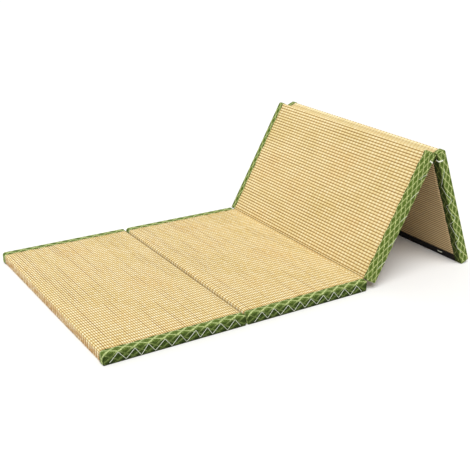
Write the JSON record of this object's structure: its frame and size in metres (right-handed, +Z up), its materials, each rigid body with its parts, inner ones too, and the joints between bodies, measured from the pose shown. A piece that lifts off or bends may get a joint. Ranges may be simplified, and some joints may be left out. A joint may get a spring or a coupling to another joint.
{
  "type": "folding tatami mat",
  "caption": "Folding rush tatami mat with brocade-bound panels, lying flat at one end and raised into a tent fold at the other.",
  "frame": {"origin": "middle of the footprint, on the floor", "axes": "+X along the mat from its free flat end towards the raised end, +Y across the mat, +Z up"},
  "size_m": [1.3538, 0.8, 0.4229],
  "materials": {
    "woven_rush": "woven rush, dry and slightly glossy",
    "green_brocade": "cotton brocade with a pale lozenge lattice",
    "underside_cloth": "ribbed backing cloth, matte",
    "hinge_cloth": "plain woven cloth, matte",
    "dark_tape": "woven tape, matte"
  },
  "bodies": {
    "root": {"rush_pad_1": "woven_rush", "backing_1": "underside_cloth", "binding_1_near": "green_brocade", "binding_1_far": "green_brocade", "rush_pad_2": "woven_rush", "backing_2": "underside_cloth", "binding_2_near": "green_brocade", "binding_2_far": "green_brocade", "rush_pad_3": "woven_rush", "backing_3": "underside_cloth", "binding_3_near": "green_brocade", "binding_3_far": "green_brocade", "rush_pad_4": "woven_rush", "backing_4": "underside_cloth", "binding_4_near": "green_brocade", "binding_4_far": "green_brocade", "hinge_groove": "hinge_cloth", "hinge_valley": "woven_rush", "hinge_ridge": "woven_rush", "foot_tape": "dark_tape"}
  },
  "joints": []
}
